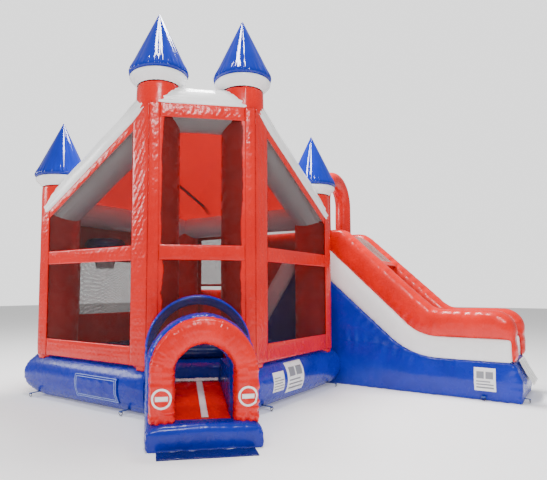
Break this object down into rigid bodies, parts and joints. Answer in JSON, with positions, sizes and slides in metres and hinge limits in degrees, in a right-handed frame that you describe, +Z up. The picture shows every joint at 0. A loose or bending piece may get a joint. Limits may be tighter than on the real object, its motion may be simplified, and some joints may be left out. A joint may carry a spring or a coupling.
{
  "type": "inflatable bounce house",
  "caption": "Castle-shaped inflatable bounce house with netted walls, turrets, an arched crawl-in entrance, and a climb and slide lane along its back.",
  "frame": {"origin": "middle of the overall footprint, on the ground", "axes": "+X along the slide, towards its exit; +Y away from the entrance side, towards the slide lane; +Z up"},
  "size_m": [5.8891, 5.7762, 4.9],
  "materials": {
    "vinyl_red": "glossy coated vinyl",
    "vinyl_blue": "glossy coated vinyl",
    "vinyl_white": "glossy coated vinyl",
    "mesh_black": "open knitted mesh",
    "mesh_grey": "open knitted mesh",
    "webbing_blue": "woven webbing",
    "ring_black": "satin black",
    "zip_black": "matt"
  },
  "bodies": {
    "house": {"base_tube_front_left": "vinyl_blue", "base_tube_front": "vinyl_blue", "base_tube_front_right": "vinyl_blue", "base_tube_back": "vinyl_blue", "base_tube_left": "vinyl_blue", "bounce_floor": "vinyl_blue", "column_front_left": "vinyl_red", "column_front_right": "vinyl_red", "column_left": "vinyl_red", "column_right": "vinyl_red", "column_back_left": "vinyl_red", "turret_collars": "vinyl_white", "turret_cones": "vinyl_blue", "beam_front": "vinyl_white", "beam_slope_left": "vinyl_white", "beam_slope_right": "vinyl_white", "beam_left": "vinyl_white", "beam_back": "vinyl_white", "roof_canopy": "vinyl_red", "border_front_left": "vinyl_red", "border_front_right": "vinyl_red", "net_front_left": "mesh_black", "net_front_right": "mesh_black", "border_front_centre": "vinyl_red", "net_front_centre": "mesh_black", "left_wall": "vinyl_red", "back_wall": "vinyl_red", "window_nets": "mesh_black", "entry_bumper": "vinyl_blue", "entry_arch_front": "vinyl_red", "entry_hood": "vinyl_blue", "entry_side_walls": "vinyl_blue", "entry_ramp": "vinyl_red", "entry_arch_rear": "vinyl_blue", "entry_roof_net": "mesh_black", "entry_threshold": "vinyl_blue", "climb_body": "vinyl_blue", "slide_body": "vinyl_blue", "slide_bands": "vinyl_white", "slide_walls": "vinyl_red", "lane_rail": "vinyl_red", "slide_bed": "vinyl_white", "climb_rungs": "vinyl_red", "slide_arch": "vinyl_red", "slide_cover_net": "mesh_grey", "hoop_ring": "vinyl_blue", "hoop_net": "mesh_grey", "blower_sleeve": "vinyl_red", "deflation_zip": "zip_black", "anchor_tabs": "webbing_blue"},
    "anchor_ring_front_left_corner": {"anchor_ring_front_left_corner": "ring_black"},
    "anchor_ring_entrance_left": {"anchor_ring_entrance_left": "ring_black"},
    "anchor_ring_entrance_right": {"anchor_ring_entrance_right": "ring_black"},
    "anchor_ring_right_corner": {"anchor_ring_right_corner": "ring_black"},
    "anchor_ring_slide_side": {"anchor_ring_slide_side": "ring_black"},
    "anchor_ring_slide_end": {"anchor_ring_slide_end": "ring_black"},
    "zip_slider": {"zip_slider": "zip_black"},
    "zip_cover_flap": {"zip_cover_flap": "vinyl_blue"},
    "entry_mat_flap": {"entry_mat_flap": "vinyl_blue"},
    "slide_exit_flap": {"slide_exit_flap": "vinyl_white"}
  },
  "joints": [
    {"name": "ring_swing_front_left_corner", "type": "hinge", "parent": "house", "child": "anchor_ring_front_left_corner", "pos_m": [-2.66479, -2.0349, 0.052], "axis": [-1, 0, 0], "range_deg": [-30, 100]},
    {"name": "ring_swing_entrance_left", "type": "hinge", "parent": "house", "child": "anchor_ring_entrance_left", "pos_m": [-0.87179, -2.0349, 0.052], "axis": [-1, 0, 0], "range_deg": [-30, 100]},
    {"name": "ring_swing_entrance_right", "type": "hinge", "parent": "house", "child": "anchor_ring_entrance_right", "pos_m": [0.42621, -0.8299, 0.052], "axis": [0, -1, 0], "range_deg": [-30, 100]},
    {"name": "ring_swing_right_corner", "type": "hinge", "parent": "house", "child": "anchor_ring_right_corner", "pos_m": [0.42621, 1.0101, 0.052], "axis": [0, -1, 0], "range_deg": [-30, 100]},
    {"name": "ring_swing_slide_side", "type": "hinge", "parent": "house", "child": "anchor_ring_slide_side", "pos_m": [2.39521, 1.2361, 0.052], "axis": [-1, 0, 0], "range_deg": [-30, 100]},
    {"name": "ring_swing_slide_end", "type": "hinge", "parent": "house", "child": "anchor_ring_slide_end", "pos_m": [2.90721, 1.4381, 0.052], "axis": [0, -1, 0], "range_deg": [-30, 100]},
    {"name": "zip_slider_slide", "type": "slide", "parent": "house", "child": "zip_slider", "axis": [1, 0, 0], "range_m": [0, 0.6]},
    {"name": "zip_cover_hinge", "type": "hinge", "parent": "house", "child": "zip_cover_flap", "pos_m": [-1.35479, -2.00813, 0.42532], "axis": [-1, 0, 0], "range_deg": [0, 100]},
    {"name": "mat_flap_hinge", "type": "hinge", "parent": "house", "child": "entry_mat_flap", "pos_m": [0.70664, -2.42848, 0.012], "axis": [-0.7071, -0.7071, 0], "range_deg": [0, 90]},
    {"name": "exit_flap_hinge", "type": "hinge", "parent": "house", "child": "slide_exit_flap", "pos_m": [2.78121, 1.8631, 0.52], "axis": [0, -1, 0], "range_deg": [0, 90]}
  ]
}
